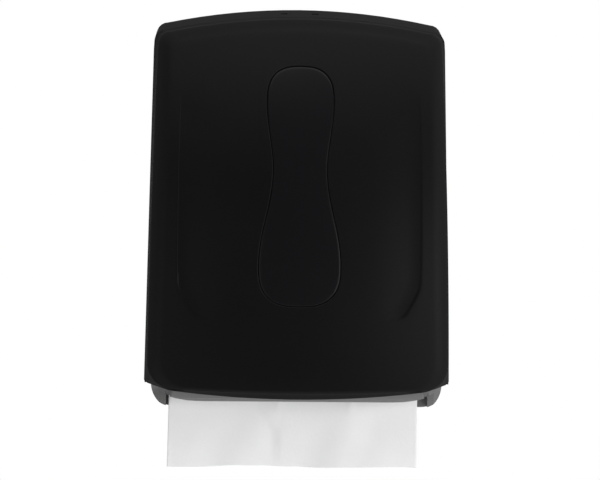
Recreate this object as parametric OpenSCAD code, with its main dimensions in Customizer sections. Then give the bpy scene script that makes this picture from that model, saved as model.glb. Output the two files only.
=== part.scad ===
// Folded towel dispenser: wall housing, hinged bowed cover, sprung key latch, slotted tray and towels.
// The wall is the plane Y = 0, the front faces -Y, +Z is up, and the origin is the middle of the wall face.

/* [Body] */
// Height from the tray's lower edge to the crest of the top rim
body_h = 373; // [340:1:420]
// Width across the lower rim
body_w = 284; // [276:1:320]
// How much narrower each side is at the top
side_taper = 7; // [4:0.5:14]
// Depth of the rear housing
housing_d = 38; // [36:0.5:46]
// Wall thickness of the housing
housing_wall = 2.8; // [2:0.1:3.6]
// Radius of the arched top
arch_r = 590; // [450:10:900]
// Radius of the top corners
corner_r = 11; // [7:0.5:16]
// Fall of the top rim from the wall to the cover's seam
rim_slope = 11; // [6:0.5:14]
// Height of the lower side rim above the tray's lower edge
rim_rise = 21.5; // [20:0.5:28]

/* [Cover] */
// Greatest depth of the cover from the wall
cover_d = 128; // [120:1:145]
// Wall thickness of the cover
cover_wall = 2.5; // [2:0.1:2.7]
// Gap at the seam between cover and housing
seam_gap = 0.8; // [0.6:0.1:1.5]
// Draft of each side wall, from the seam to the front
side_draft = 5.5; // [2:0.5:9]
// Radius along the front's sides and top
edge_r = 14; // [9:0.5:18]
// Radius along the front's lower edge
lower_edge_r = 3; // [2.8:0.1:6]
// Radius of the front's lower corners
lower_corner_r = 26; // [16:1:34]
// Height of the deepest point above the tray's lower edge
bow_rise = 125; // [100:1:160]
// Radius of the front's bow from top to bottom
bow_v = 600; // [520:10:900]
// Radius of the front's bow from side to side
bow_h = 900; // [700:10:1500]
// Drop of the arched lower edge at its middle
low_drop = 10.6; // [6:0.2:14]
// How much higher the front's lower edge lies than the rim at its middle
lip_rise = 6; // [0:0.1:8]

/* [Window] */
// Height of the window's top below the crest
window_top = 62; // [55:1:80]
// Height of the window
window_h = 216; // [180:1:220]
// Half width of the upper lobe
lobe_up = 30.3; // [26:0.1:36]
// Half width of the waist
waist = 24.3; // [18:0.1:25]
// Half width of the lower lobe
lobe_low = 36.8; // [30:0.1:44]
// Gap round the window
window_gap = 0.35; // [0.25:0.05:0.6]
// Width of the flange behind the opening
flange_w = 9; // [8:0.5:12]
// Thickness of the flange
flange_t = 1.6; // [1.2:0.1:2.4]
// Radius of the studs that hold the flange
stud_r = 1.6; // [1.2:0.1:2]

/* [Hinge] */
// Depth of the hinge axis from the wall
hinge_d = 24; // [22:0.5:28]
// Height of the hinge axis above the lower side rim
hinge_rise = 8.5; // [8:0.5:9]
// Radius of the hinge pins
pin_r = 3; // [2.5:0.1:4]
// Running clearance of the pins
pin_fit = 0.05; // [0.03:0.01:0.1]
// Radius of the knuckle on the cover
knuckle_r = 8; // [7:0.5:9]
// Thickness of the knuckle
knuckle_t = 3; // [2.4:0.1:4]

/* [Lock] */
// Place of the lock to the right of the middle
lock_x = 0; // [-20:1:20]
// Distance between the two key slots
key_pitch = 29.3; // [24:0.1:36]
// Width of a key slot
key_w = 6.4; // [5:0.1:9]
// Depth of a key slot
key_d = 5.6; // [5:0.1:7]
// Length of the latch bar
latch_w = 52; // [48:1:60]
// Travel of the latch bar
latch_travel = 5; // [3:0.5:7]
// Radius of the latch stems
stem_r = 2.5; // [2:0.1:3]
// Distance between the latch stems
stem_pitch = 36; // [32:1:40]
// Turns of each latch spring
spring_turns = 5; // [4:1:6]
// Wire radius of each latch spring
wire_r = 0.45; // [0.3:0.05:0.6]

/* [Tray] */
// Room in the slot beside each edge of a towel
slot_play = 6; // [4:0.5:8]
// Width of the dispensing slot
slot_d = 18; // [14:0.5:22]
// Depth of the slot's middle from the wall
slot_mid = 50; // [48:0.5:52]
// Radius of the tray's lower corners
tray_corner_r = 20; // [12:1:22]
// Wall thickness of the tray
tray_wall = 2.5; // [2:0.1:3.2]
// How much higher the front lip ends than the rear lip
lip_step = 6; // [4:0.5:9]
// Height of the ledges above the tray's lower edge
ledge_rise = 37; // [34:0.5:42]

/* [Towels] */
// Distance from each edge of a towel to the side of the body
side_room = 27; // [24:0.5:36]
// Depth of the towel stack
stack_d = 80; // [74:1:84]
// Height of the towel stack
stack_h = 178; // [60:1:190]
// Length of towel that hangs below the tray
hang_len = 58; // [30:1:80]
// Thickness of the hanging towel
towel_t = 1.2; // [0.8:0.1:2]
// Depth of the soft folds in the hanging towel
fold_depth = 2.4; // [0.5:0.1:3]
// How far the hanging towel lies to the left
towel_shift = 3; // [0:0.5:4]

/* [Mounting] */
// Distance between the wall holes from side to side
hole_x = 160; // [120:1:190]
// Distance between the wall holes from top to bottom
hole_z = 200; // [140:1:210]
// Radius of the wall holes
hole_r = 2.75; // [2:0.05:4]
// Radius of the raised pad round each hole
pad_r = 8; // [6:0.5:12]

/* [Hidden] */

// Heights of the main levels
z_top = body_h / 2;
z_bot = -body_h / 2;
seam_z = z_top - rim_slope;
rim_z = z_bot + rim_rise;
bow_z = z_bot + bow_rise;
hinge_z = rim_z + hinge_rise;
ledge_z = z_bot + ledge_rise;
seam_d = housing_d + seam_gap;
towel_w = body_w - 2 * side_room;
slot_w = towel_w + 2 * slot_play;

// Screws and sheet metal that several pieces share
screw_r = 1.5;
screw_fit = 0.05;
screw_head_r = 3.2;
screw_head_h = 2;
screw_bite = 7;
plate_t = 2;
boss_r = 5;
boss_h = 5.2;
boss_d = housing_wall + boss_h;
seat_gap = 0.3;
clip_t = 0.8;
past = 1;

// Hinge places: the knuckle lies in line with the side wall, the pin is held in the tray's end
knuckle_sink = 0.8;
knuckle_x1 = half_w(hinge_z, knuckle_sink);
knuckle_x0 = knuckle_x1 - knuckle_t;
side_gap = 0.7;
tray_gap = 2.3;
tray_x = knuckle_x0 - tray_gap;
pin_x1 = knuckle_x1 - 0.2;
pin_groove = 0.6;
notch_gap = 2;

// Latch levels, from the catch arm down
arm_z = seam_z - 15;
arm_w = 14;
nose_gap = 0.8;
lip_h = 2.2;
nose_h = 2;
nose_z = arm_z - lip_h - nose_gap;
latch_z = nose_z - nose_h;
latch_t = 3;
latch_d0 = 12;
latch_depth = 16;
stem_d = latch_d0 + latch_depth / 2;
spring_h = 16;
shelf_z = latch_z - latch_t - spring_h;
stem_end = 3;
stem_len = spring_h + plate_t + latch_travel + stem_end;
spring_r = stem_r + wire_r + 0.9;
plate_h = 20;
key_mid = stem_d;
flange_d = face(lock_x, arm_z) - edge_r - 3;
catch_drop = 32;
catch_w = 32;
hook_set = 8;
nose_t = 3;
catch_hole = 20;
catch_pitch = 20;

// Towel guides and tray fixings
guide_gap = 1.5;
guide_t = 1.6;
guide_d = 32;
guide_h = 212;
guide_lip = 9;
guide_pitch = 170;
guide_mid = towel_w / 2 + guide_gap + guide_t + guide_lip / 2;
tray_d0 = boss_d;
tray_d1 = 78;
tray_screw_x = [-90, -30, 30, 90];
tray_back_h = 24;
tray_screw_z = ledge_z + tray_back_h - 8;
guide_z = ledge_z + tray_back_h + 4 + guide_h / 2;

function half_w(z, e) = body_w / 2 - side_taper * (z - rim_z) / (seam_z - rim_z) - e;
function arch(x, top) = top - x * x / (2 * arch_r);
function face(x, z) = cover_d - pow(z - bow_z, 2) / (2 * bow_v) - x * x / (2 * bow_h);
function low(x, rise) = rim_z - (low_drop - rise) * (1 - pow(min(1, abs(x) / (body_w / 2)), 2));
function mix(a, b, t) = a + (b - a) * t;
function clamp01(t) = max(0, min(1, t));

// Right half of a front outline as [x, z, share of lower edge], from the low middle to the top middle
n_low = 8;
n_corner = 5;
n_side = 12;
n_arch = 8;
function half_outline(es, eb, top, rb, rt, rise) =
    let (zc = low(half_w(rim_z, es) - rb, rise) + eb + rb,
         xc = half_w(zc, es) - rb,
         xt = half_w(top - rt, es) - rt,
         zt = arch(xt, top - es) - rt)
    concat(
        [for (i = [0 : n_low - 1]) let (x = xc * i / n_low) [x, low(x, rise) + eb, 1]],
        [for (i = [0 : n_corner]) let (a = -90 + 90 * i / n_corner)
            [xc + rb * cos(a), zc + rb * sin(a), 1 - i / n_corner]],
        [for (i = [1 : n_side - 1]) let (z = mix(zc, zt, i / n_side)) [half_w(z, es), z, 0]],
        [for (i = [0 : n_corner]) let (a = 90 * i / n_corner) [xt + rt * cos(a), zt + rt * sin(a), 0]],
        [for (i = [1 : n_arch]) let (x = xt * (1 - i / n_arch)) [x, arch(x, top - es), 0]]);

function whole(half) = concat(half,
    [for (i = [len(half) - 2 : -1 : 1]) [-half[i][0], half[i][1], half[i][2]]]);

// Rings of the cover's skin at offset o behind its outer face, each point as [x, y, z]
turn_steps = 3;
lip_back = 11;
function radius_at(b) = mix(edge_r, lower_edge_r, b);
function rim_depth(p) = mix(seam_d, face(p[0], p[1]) - lower_edge_r - lip_back,
    p[2] < 1 ? 0 : clamp01((half_w(rim_z, 0) - abs(p[0])) / lower_corner_r));
function rim_ring(o) = [for (p = whole(half_outline(o, o, seam_z, 3, corner_r, 0)))
    [p[0], -rim_depth(p), p[1]]];
function turn_ring(o, a) =
    let (e = side_draft + o + (edge_r - o) * (1 - cos(a)),
         eb = o + (lower_edge_r - o) * (1 - cos(a)),
         rb = mix(lower_corner_r * 0.9, lower_corner_r, a / 90))
    [for (p = whole(half_outline(e, eb, seam_z, rb, corner_r, lip_rise)))
        let (r = radius_at(p[2])) [p[0], -(face(p[0], p[1]) - o - (r - o) * (1 - sin(a))), p[1]]];
face_rings = [0.86, 0.7, 0.54, 0.36, 0.18];
face_mid = (seam_z + rim_z) / 2;
function face_ring(o, ring, k) = [for (p = ring)
    let (x = p[0] * k, z = mix(face_mid, p[2], k)) [x, -(face(x, z) - o), z]];
function skin(o) =
    let (last = turn_ring(o, 90))
    concat([rim_ring(o)], [for (i = [0 : turn_steps]) turn_ring(o, 90 * i / turn_steps)],
           [for (k = face_rings) face_ring(o, last, k)]);
function join(lists) = [for (l = lists) each l];
function quads(a, b, n) = [for (i = [0 : n - 1]) let (j = (i + 1) % n)
    each [[a + i, a + j, b + j], [a + i, b + j, b + i]]];
function flip(faces) = [for (f = faces) [f[2], f[1], f[0]]];

// Closed shell between an outer stack of rings and an inner one that share their rims
module shell(outer, inner, outer_mid, inner_mid) {
    n = len(outer[0]);
    m = len(outer);
    start = n * m;
    mid = 2 * n * m;
    points = concat(join(outer), join(inner), [outer_mid, inner_mid]);
    outside = concat([for (k = [0 : m - 2]) each quads(k * n, (k + 1) * n, n)],
                     [for (i = [0 : n - 1]) [(m - 1) * n + i, (m - 1) * n + (i + 1) % n, mid]]);
    inside = concat([for (k = [0 : m - 2]) each quads(start + k * n, start + (k + 1) * n, n)],
                    [for (i = [0 : n - 1])
                        [start + (m - 1) * n + i, start + (m - 1) * n + (i + 1) % n, mid + 1]]);
    polyhedron(points = points, faces = concat(flip(outside), inside, quads(0, start, n)));
}

// Solid between two loops of equal length
module loft(a, b) {
    n = len(a);
    polyhedron(points = concat(a, b),
               faces = concat(flip(quads(0, n, n)), [[for (i = [0 : n - 1]) i]],
                              [[for (i = [n - 1 : -1 : 0]) n + i]]));
}

// Cylinder that runs forward from depth d to depth d2 at a place in the front view
module rod(x, z, d, d2, r, fn = 40) {
    translate([x, -d, z]) rotate([90, 0, 0]) cylinder(h = d2 - d, r = r, $fn = fn);
}

// Cylinder along X between two places, at a depth and height
module bar_x(x0, x1, d, z, r, fn = 40) {
    translate([min(x0, x1), -d, z]) rotate([0, 90, 0]) cylinder(h = abs(x1 - x0), r = r, $fn = fn);
}

// Block between two corners, with depth in place of Y
module block(x0, x1, d0, d1, z0, z1) {
    translate([x0, -d1, z0]) cube([x1 - x0, d1 - d0, z1 - z0]);
}

// Pan head screw whose head sits in front of depth d
module screw(x, z, d) {
    rod(x, z, d, d + screw_head_h, screw_head_r);
    rod(x, z, d - screw_bite, d, screw_r);
}

// Window outline in the front view, grown by e
cap_up = 33;
cap_low = 36;
waist_share = 0.585;
cap_power = 2.7;
n_cap = 7;
n_waist = 10;
window_z1 = z_top - window_top;
window_z0 = window_z1 - window_h;
lobe_up_z = window_z1 - cap_up;
lobe_low_z = window_z0 + cap_low;
waist_z = mix(lobe_low_z, lobe_up_z, waist_share);
window_mid = (window_z1 + window_z0) / 2;
function bend(t) = (1 - cos(180 * t)) / 2;
function root(t) = pow(max(0, t), 2 / cap_power);
function window_half(e) = concat(
    [for (i = [0 : n_cap]) let (a = 90 * i / n_cap)
        [(lobe_up + e) * root(sin(a)), lobe_up_z + (cap_up + e) * root(cos(a))]],
    [for (i = [1 : n_waist]) let (t = i / n_waist)
        [mix(lobe_up, waist, bend(t)) + e, mix(lobe_up_z, waist_z, t)]],
    [for (i = [1 : n_waist]) let (t = i / n_waist)
        [mix(waist, lobe_low, bend(t)) + e, mix(waist_z, lobe_low_z, t)]],
    [for (i = [1 : n_cap]) let (a = 90 * i / n_cap)
        [(lobe_low + e) * root(cos(a)), lobe_low_z - (cap_low + e) * root(sin(a))]]);
function window_outline(e) =
    let (h = window_half(e))
    concat([for (i = [len(h) - 1 : -1 : 0]) h[i]], [for (i = [1 : len(h) - 2]) [-h[i][0], h[i][1]]]);

// Plate that follows the front, inside the grown window outline, between two offsets behind the face
plate_rings = [1, 0.82, 0.6, 0.38, 0.16];
function plate_ring(e, o, k) = [for (p = window_outline(e))
    let (x = p[0] * k, z = mix(window_mid, p[1], k)) [x, -(face(x, z) - o), z]];
module front_plate(e, o0, o1) {
    shell([for (k = plate_rings) plate_ring(e, o0, k)], [for (k = plate_rings) plate_ring(e, o1, k)],
          [0, -(face(0, window_mid) - o0), window_mid], [0, -(face(0, window_mid) - o1), window_mid]);
}

// Studs round the window, as [x, z], and the offsets of what they hold
stud_out = flange_w * 0.55;
studs = [for (s = [-1, 1]) each [[s * (lobe_up + stud_out), lobe_up_z], [s * (waist + stud_out), waist_z],
                                 [s * (lobe_low + stud_out), lobe_low_z]]];
flange_seat = 0.8;
flange_o0 = cover_wall + flange_seat;
flange_o1 = flange_o0 + flange_t;
push_r = stud_r + 2;
function push_o(p) = flange_o1 + seat_gap + push_r * (abs(p[1] - bow_z) / bow_v + abs(p[0]) / bow_h);
stud_tail = 1.5;

module window_holes(r) {
    for (p = studs)
        rod(p[0], p[1], face(p[0], p[1]) - push_o(p) - 3, face(p[0], p[1]) - cover_wall, r, 24);
}

module key_slots() {
    for (s = [-1, 1])
        block(lock_x + s * key_pitch / 2 - key_w / 2, lock_x + s * key_pitch / 2 + key_w / 2,
              key_mid - key_d / 2, key_mid + key_d / 2, seam_z - 12, z_top + past);
}

function housing_loop(e, top, d, low_z) =
    let (xt = half_w(top - corner_r, e) - corner_r,
         zt = arch(xt, top - e) - corner_r,
         side = [[half_w(low_z, e), low_z]],
         turn = [for (i = [0 : n_corner]) let (a = 90 * i / n_corner)
             [xt + corner_r * cos(a), zt + corner_r * sin(a)]],
         top_arc = [for (i = [1 : 2 * n_arch - 1]) let (x = xt * (1 - i / n_arch)) [x, arch(x, top - e)]],
         right = concat(side, turn),
         left = [for (i = [len(right) - 1 : -1 : 0]) [-right[i][0], right[i][1]]])
    [for (p = concat(right, top_arc, left)) [p[0], -d, p[1]]];

wall_holes = [for (x = [-1, 1], z = [-1, 1]) [x * hole_x / 2, z * hole_z / 2]];
lock_screws = [for (s = [-1, 1]) [lock_x + s * stem_pitch / 2, shelf_z - plate_h + 6]];
guide_holes = [for (s = [-1, 1], t = [-1, 1]) [s * guide_mid, guide_z + t * guide_pitch / 2]];
tray_holes = [for (x = tray_screw_x) [x, tray_screw_z]];
housing_bosses = concat(lock_screws, guide_holes, tray_holes);

// Rear shell with sloped top rim, key slots, wall holes, screw bosses and hinge notches
module back_housing() {
    color([0.11, 0.11, 0.12]) difference() {
        union() {
            difference() {
                loft(housing_loop(0, z_top, 0, rim_z), housing_loop(0, seam_z, housing_d, rim_z));
                loft(housing_loop(housing_wall, z_top, housing_wall, rim_z - rim_rise),
                     housing_loop(housing_wall, seam_z - rim_slope / housing_d, housing_d + past,
                                  rim_z - rim_rise));
            }
            for (p = housing_bosses)
                rod(p[0], p[1], housing_wall - 0.5, boss_d, boss_r);
            for (p = wall_holes)
                rod(p[0], p[1], housing_wall - 0.5, housing_wall + 1.5, pad_r);
        }
        for (p = housing_bosses)
            rod(p[0], p[1], boss_d - screw_bite, boss_d + past, screw_r + screw_fit);
        for (p = wall_holes)
            rod(p[0], p[1], -past, housing_wall + 2 * past + 1, hole_r);
        key_slots();
        for (s = [-1, 1])
            hinge_notch(s);
    }
}

module hinge_notch(s) {
    r = knuckle_r + notch_gap;
    x0 = s * (half_w(rim_z, housing_wall) - 3);
    x1 = s * (body_w / 2 + past);
    bar_x(x0, x1, hinge_d, hinge_z, r);
    block(min(x0, x1), max(x0, x1), hinge_d, housing_d + past, hinge_z - r, hinge_z + r);
}

// Steel shelf behind the top rim, with holes for the latch stems
module lock_plate() {
    w = latch_w / 2 + 4;
    color([0.72, 0.73, 0.75]) difference() {
        union() {
            block(lock_x - w, lock_x + w, boss_d, boss_d + plate_t, shelf_z - plate_h, shelf_z);
            block(lock_x - w, lock_x + w, boss_d, latch_d0 + latch_depth + 4, shelf_z - plate_t, shelf_z);
        }
        for (p = lock_screws)
            rod(p[0], p[1], boss_d - past, boss_d + plate_t + past, screw_r + screw_fit);
        for (s = [-1, 1])
            translate([lock_x + s * stem_pitch / 2, -stem_d, shelf_z - plate_t - past])
                cylinder(h = plate_t + 2 * past, r = stem_r + 2 * screw_fit, $fn = 40);
    }
}

module lock_plate_screws() {
    color([0.8, 0.8, 0.82]) for (p = lock_screws)
        screw(p[0], p[1], boss_d + plate_t);
}

// Sprung bar that the key presses down, with its nose behind the catch and two stems
module latch_bar() {
    color([0.2, 0.2, 0.22]) difference() {
        union() {
            block(lock_x - latch_w / 2, lock_x + latch_w / 2, latch_d0, latch_d0 + latch_depth,
                  latch_z - latch_t, latch_z);
            block(lock_x - arm_w / 2, lock_x + arm_w / 2, latch_d0 + latch_depth - nose_t,
                  latch_d0 + latch_depth, latch_z - past, nose_z);
            for (s = [-1, 1])
                translate([lock_x + s * stem_pitch / 2, -stem_d, latch_z - latch_t - stem_len])
                    cylinder(h = stem_len + past, r = stem_r, $fn = 40);
        }
        for (s = [-1, 1])
            stem_ring(s, stem_r + 1, stem_r - pin_groove);
    }
}

// Ring round a latch stem just under the shelf, between two radii
module stem_ring(s, r1, r0) {
    translate([lock_x + s * stem_pitch / 2, -stem_d, shelf_z - plate_t - seat_gap - clip_t]) difference() {
        cylinder(h = clip_t, r = r1, $fn = 40);
        translate([0, 0, -past]) cylinder(h = clip_t + 2 * past, r = r0, $fn = 40);
    }
}

module latch_clips() {
    color([0.6, 0.61, 0.63]) for (s = [-1, 1])
        stem_ring(s, stem_r + 2.2, stem_r - pin_groove + screw_fit);
}

// One unbroken coil as a swept tube, with flat lying end turns left out
spring_sides = 6;
spring_rings = 8;
spring_z0 = shelf_z + wire_r + 0.1;
spring_z1 = latch_z - latch_t - wire_r - 0.1;
function coil_point(t) = [spring_r * cos(360 * t), spring_r * sin(360 * t),
    mix(spring_z0, spring_z1, t / spring_turns)];
function coil_ring(t) =
    let (c = coil_point(t), out = [cos(360 * t), sin(360 * t), 0])
    [for (i = [0 : spring_sides - 1]) let (a = 360 * i / spring_sides)
        c + wire_r * (cos(a) * out + [0, 0, sin(a)])];
n_coil = spring_turns * spring_rings;
module latch_spring(s) {
    n = spring_sides;
    rings = [for (i = [0 : n_coil]) coil_ring(i / spring_rings)];
    sides = [for (k = [0 : n_coil - 1]) each quads(k * n, (k + 1) * n, n)];
    caps = [[for (i = [0 : n - 1]) i], [for (i = [n - 1 : -1 : 0]) n_coil * n + i]];
    color([0.75, 0.76, 0.78]) translate([lock_x + s * stem_pitch / 2, -stem_d, 0])
        polyhedron(points = join(rings), faces = concat(flip(sides), caps));
}
module latch_spring_left() { latch_spring(-1); }
module latch_spring_right() { latch_spring(1); }

// Angle rail beside the stack, screwed to the housing
module towel_guide(s) {
    x0 = towel_w / 2 + guide_gap;
    z0 = guide_z - guide_h / 2;
    z1 = guide_z + guide_h / 2;
    mirror([s < 0 ? 1 : 0, 0, 0]) difference() {
        union() {
            block(x0, x0 + guide_t, boss_d, boss_d + guide_d, z0, z1);
            block(x0, x0 + guide_t + guide_lip, boss_d, boss_d + guide_t, z0, z1);
        }
        for (t = [-1, 1])
            rod(guide_mid, guide_z + t * guide_pitch / 2, boss_d - past, boss_d + guide_t + past,
                screw_r + screw_fit);
    }
}
module left_towel_guide() { color([0.2, 0.2, 0.21]) towel_guide(-1); }
module right_towel_guide() { color([0.2, 0.2, 0.21]) towel_guide(1); }

module guide_screws() {
    color([0.8, 0.8, 0.82]) for (p = guide_holes)
        screw(p[0], p[1], boss_d + guide_t);
}

// Tray: two ramped ledges either side of the slot, joined by end blocks that hold the hinge pins
slot0 = slot_mid - slot_d / 2;
slot1 = slot_mid + slot_d / 2;
towel_set = 4;
ramp = 13;
lip_top = 14;
lip_z = z_bot + lip_step;
front_r = 12;
lip_flat = slot_w / 2 - 37;
lip_arc_r = 117;
tray_clear = 13;
tray_taper_d = seam_d - 7;
function rim_reach(d) = half_w(rim_z, 0) - tray_clear - lower_corner_r * (d - seam_d)
    / (face(0, rim_z) - lower_edge_r - lip_back - seam_d);

module along_x(half) {
    rotate([90, 0, -90]) translate([0, 0, -half]) linear_extrude(2 * half) children();
}

module rear_section() {
    w = tray_wall;
    polygon([[tray_d0, ledge_z + tray_back_h], [tray_d0 + w, ledge_z + tray_back_h], [tray_d0 + w, ledge_z],
             [slot0 - ramp, ledge_z], [slot0, z_bot + lip_top], [slot0, z_bot], [slot0 - w, z_bot],
             [slot0 - w, z_bot + lip_top - w / 2], [slot0 - ramp - w / 2, ledge_z - w],
             [tray_d0, ledge_z - w]]);
}

module front_section() {
    w = tray_wall;
    polygon(concat(
        [[tray_d1, ledge_z], [tray_d1, ledge_z - w], [slot1 + ramp + w / 2, ledge_z - w],
         [slot1 + w, z_bot + lip_top - w / 2], [slot1 + w, lip_z + w]],
        [for (i = [0 : 4]) let (a = -90 + 90 * i / 4)
            [tray_d1 - front_r + (front_r - w) * cos(a), lip_z + front_r + (front_r - w) * sin(a)]],
        [for (i = [4 : -1 : 0]) let (a = -90 + 90 * i / 4)
            [tray_d1 - front_r + front_r * cos(a), lip_z + front_r + front_r * sin(a)]],
        [[slot1, lip_z], [slot1, z_bot + lip_top], [slot1 + ramp, ledge_z]]));
}

// Upright region with round lower corners, between two depths
module round_foot(half, z0, r, d0, d1) {
    block(-half, half, d0, d1, z0 + r, ledge_z + tray_back_h + past);
    block(-half + r, half - r, d0, d1, z0, z0 + r + past);
    for (s = [-1, 1])
        rod(s * (half - r), z0 + r, d0, d1, r, 64);
}

// Upright region whose lower edge is flat in the middle and rises in an arc towards the ends
function lip_edge(x) = lip_z + lip_arc_r - sqrt(pow(lip_arc_r, 2) - pow(max(0, abs(x) - lip_flat), 2));
module arched_foot(d0, d1) {
    steps = 16;
    translate([0, -d0, 0]) rotate([90, 0, 0]) linear_extrude(d1 - d0)
        polygon(concat([for (i = [-steps : steps]) let (x = tray_x * i / steps) [x, lip_edge(x)]],
                       [[tray_x, ledge_z + tray_back_h + past], [-tray_x, ledge_z + tray_back_h + past]]));
}

module dispensing_tray() {
    color([0.42, 0.42, 0.43]) difference() {
        intersection() {
            union() {
                along_x(tray_x) rear_section();
                along_x(tray_x) front_section();
                for (s = [-1, 1])
                    block(min(s * slot_w / 2, s * tray_x), max(s * slot_w / 2, s * tray_x),
                          tray_d0, tray_d1, z_bot, hinge_z + knuckle_r);
            }
            union() {
                round_foot(tray_x, z_bot, tray_corner_r, tray_d0 - past, slot_mid);
                arched_foot(slot_mid - past, tray_d1 + past);
            }
            translate([0, 0, z_bot - past]) linear_extrude(ledge_z + tray_back_h - z_bot + 2 * past)
                polygon([[-tray_x, 0], [tray_x, 0], [tray_x, -tray_taper_d], [rim_reach(tray_d1), -tray_d1],
                         [-rim_reach(tray_d1), -tray_d1], [-tray_x, -tray_taper_d]]);
        }
        for (s = [-1, 1])
            bar_x(s * (slot_w / 2 - past), s * (tray_x + past), hinge_d, hinge_z, pin_r + pin_fit);
        for (s = [-1, 1])
            bar_x(s * (pin_tail - past), s * slot_w / 2, hinge_d, hinge_z, ring_r + side_gap);
        for (p = tray_holes)
            rod(p[0], p[1], tray_d0 - past, tray_d0 + tray_wall + past, screw_r + screw_fit);
    }
}

module tray_screws() {
    color([0.8, 0.8, 0.82]) for (p = tray_holes)
        screw(p[0], p[1], tray_d0 + tray_wall);
}

// Steel pin through the tray's end block into the cover's knuckle, with a ring in a groove inside
ring_x = slot_w / 2 - seat_gap - clip_t;
pin_tail = ring_x - 2;
ring_r = pin_r + 2.6;
module hinge_pin(s) {
    color([0.75, 0.76, 0.78]) difference() {
        bar_x(s * pin_tail, s * pin_x1, hinge_d, hinge_z, pin_r);
        pin_ring(s, pin_r + 1, pin_r - pin_groove);
    }
}
module pin_ring(s, r1, r0) {
    difference() {
        bar_x(s * ring_x, s * (ring_x + clip_t), hinge_d, hinge_z, r1);
        bar_x(s * (ring_x - past), s * (ring_x + clip_t + past), hinge_d, hinge_z, r0);
    }
}
module hinge_clip(s) { color([0.6, 0.61, 0.63]) pin_ring(s, ring_r, pin_r - pin_groove + pin_fit); }
module hinge_pin_left() { hinge_pin(-1); }
module hinge_pin_right() { hinge_pin(1); }
module hinge_clip_left() { hinge_clip(-1); }
module hinge_clip_right() { hinge_clip(1); }

catch_bosses = [for (s = [-1, 1]) [lock_x + s * catch_pitch / 2, arm_z - catch_hole]];
catch_front = flange_d + plate_t;
catch_boss_r = 4;
hook_d = latch_d0 + latch_depth - hook_set;

// Bowed front shell with window opening, studs, catch bosses and hinge knuckles
module front_cover() {
    color([0.09, 0.09, 0.1]) difference() {
        union() {
            difference() {
                shell(skin(0), skin(cover_wall), [0, -face(0, face_mid), face_mid],
                      [0, -(face(0, face_mid) - cover_wall), face_mid]);
                rotate([90, 0, 0]) linear_extrude(cover_d + past) polygon(window_outline(0));
            }
            for (p = studs)
                rod(p[0], p[1], face(p[0], p[1]) - push_o(p) - stud_tail - clip_t, face(p[0], p[1]) - 1,
                    stud_r, 24);
            for (p = catch_bosses)
                rod(p[0], p[1], catch_front, face(p[0], p[1]) - cover_wall * 0.64, catch_boss_r);
            for (s = [-1, 1]) {
                x0 = min(s * knuckle_x0, s * knuckle_x1);
                bar_x(s * knuckle_x0, s * knuckle_x1, hinge_d, hinge_z, knuckle_r);
                block(x0, x0 + knuckle_t, hinge_d, seam_d + 6, hinge_z - hinge_rise, hinge_z + knuckle_r);
            }
        }
        for (s = [-1, 1])
            bar_x(s * (knuckle_x0 - past), s * (knuckle_x1 + past), hinge_d, hinge_z, pin_r + pin_fit);
        for (p = catch_bosses)
            rod(p[0], p[1], catch_front - past, catch_front + screw_bite, screw_r + screw_fit);
    }
}

// Smoked bone-shaped window, flush with the front, with a flange behind the opening
module level_window() {
    color([0.05, 0.05, 0.06]) difference() {
        union() {
            front_plate(-window_gap, 0, flange_o0 + flange_t / 2);
            front_plate(flange_w, flange_o0, flange_o1);
        }
        window_holes(stud_r + 0.15);
    }
}

module window_clips() {
    color([0.6, 0.61, 0.63]) for (p = studs) {
        d = face(p[0], p[1]) - push_o(p);
        difference() {
            rod(p[0], p[1], d - clip_t, d, push_r, 32);
            rod(p[0], p[1], d - clip_t - past, d + past, stud_r + screw_fit, 24);
        }
    }
}

// Steel hook on the cover, whose lip lies behind the latch nose
module cover_catch() {
    color([0.72, 0.73, 0.75]) difference() {
        union() {
            block(lock_x - catch_w / 2, lock_x + catch_w / 2, flange_d, catch_front,
                  arm_z + plate_t - catch_drop, arm_z + plate_t);
            block(lock_x - arm_w / 2, lock_x + arm_w / 2, hook_d, catch_front,
                  arm_z, arm_z + plate_t);
            block(lock_x - arm_w / 2, lock_x + arm_w / 2, hook_d, hook_d + plate_t,
                  arm_z - lip_h, arm_z + past);
        }
        for (p = catch_bosses)
            rod(p[0], p[1], flange_d - past, catch_front + past, screw_r + screw_fit);
    }
}

module catch_screws() {
    color([0.8, 0.8, 0.82]) for (p = catch_bosses) {
        rod(p[0], p[1], flange_d - screw_head_h, flange_d, screw_head_r);
        rod(p[0], p[1], flange_d, catch_front + screw_bite - past, screw_r);
    }
}

// Pack of interfolded towels that rests on the tray's ledges
stack_d0 = tray_d0 + tray_wall + screw_head_h + seat_gap;
module towel_stack() {
    color([0.88, 0.88, 0.87])
        block(-towel_w / 2, towel_w / 2, stack_d0, stack_d0 + stack_d, ledge_z, ledge_z + stack_h);
}

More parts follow.
